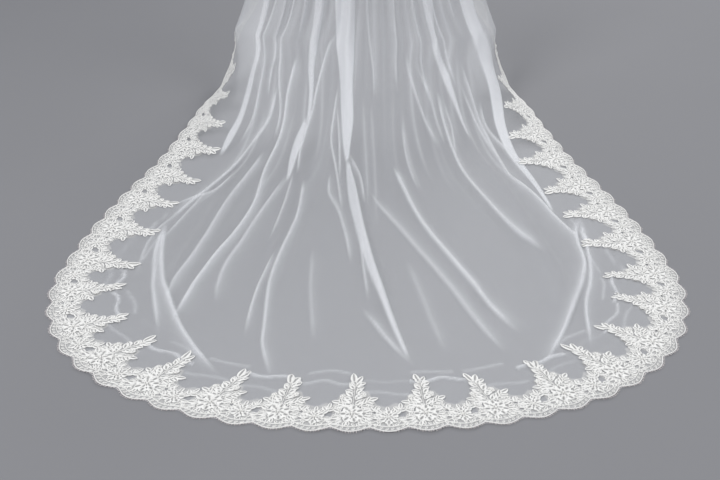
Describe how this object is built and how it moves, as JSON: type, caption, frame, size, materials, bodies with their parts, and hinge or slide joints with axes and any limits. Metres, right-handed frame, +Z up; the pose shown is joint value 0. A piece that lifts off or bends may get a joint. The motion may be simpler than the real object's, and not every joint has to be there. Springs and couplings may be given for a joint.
{
  "type": "veil",
  "caption": "Long one-tier tulle veil gathered on a hair comb, falling to the floor and spread as a rounded train with a deep floral lace edging.",
  "frame": {"origin": "middle of the hair comb's spine, where the wearer's hair holds the veil", "axes": "+Z up, +Y the way the wearer faces, +X to the wearer's right; the train lies on the floor towards -Y"},
  "size_m": [1.5785, 2.0235, 1.6035],
  "materials": {
    "tulle": "fine matt net, see-through",
    "lace": "corded lace on a fine net",
    "tape": "satin tape",
    "comb": "polished"
  },
  "bodies": {
    "root": {"tulle_panel": "tulle", "lace_train": "lace", "lace_left": "lace", "lace_right": "lace", "heading_tape": "tape", "comb": "comb"}
  },
  "joints": []
}
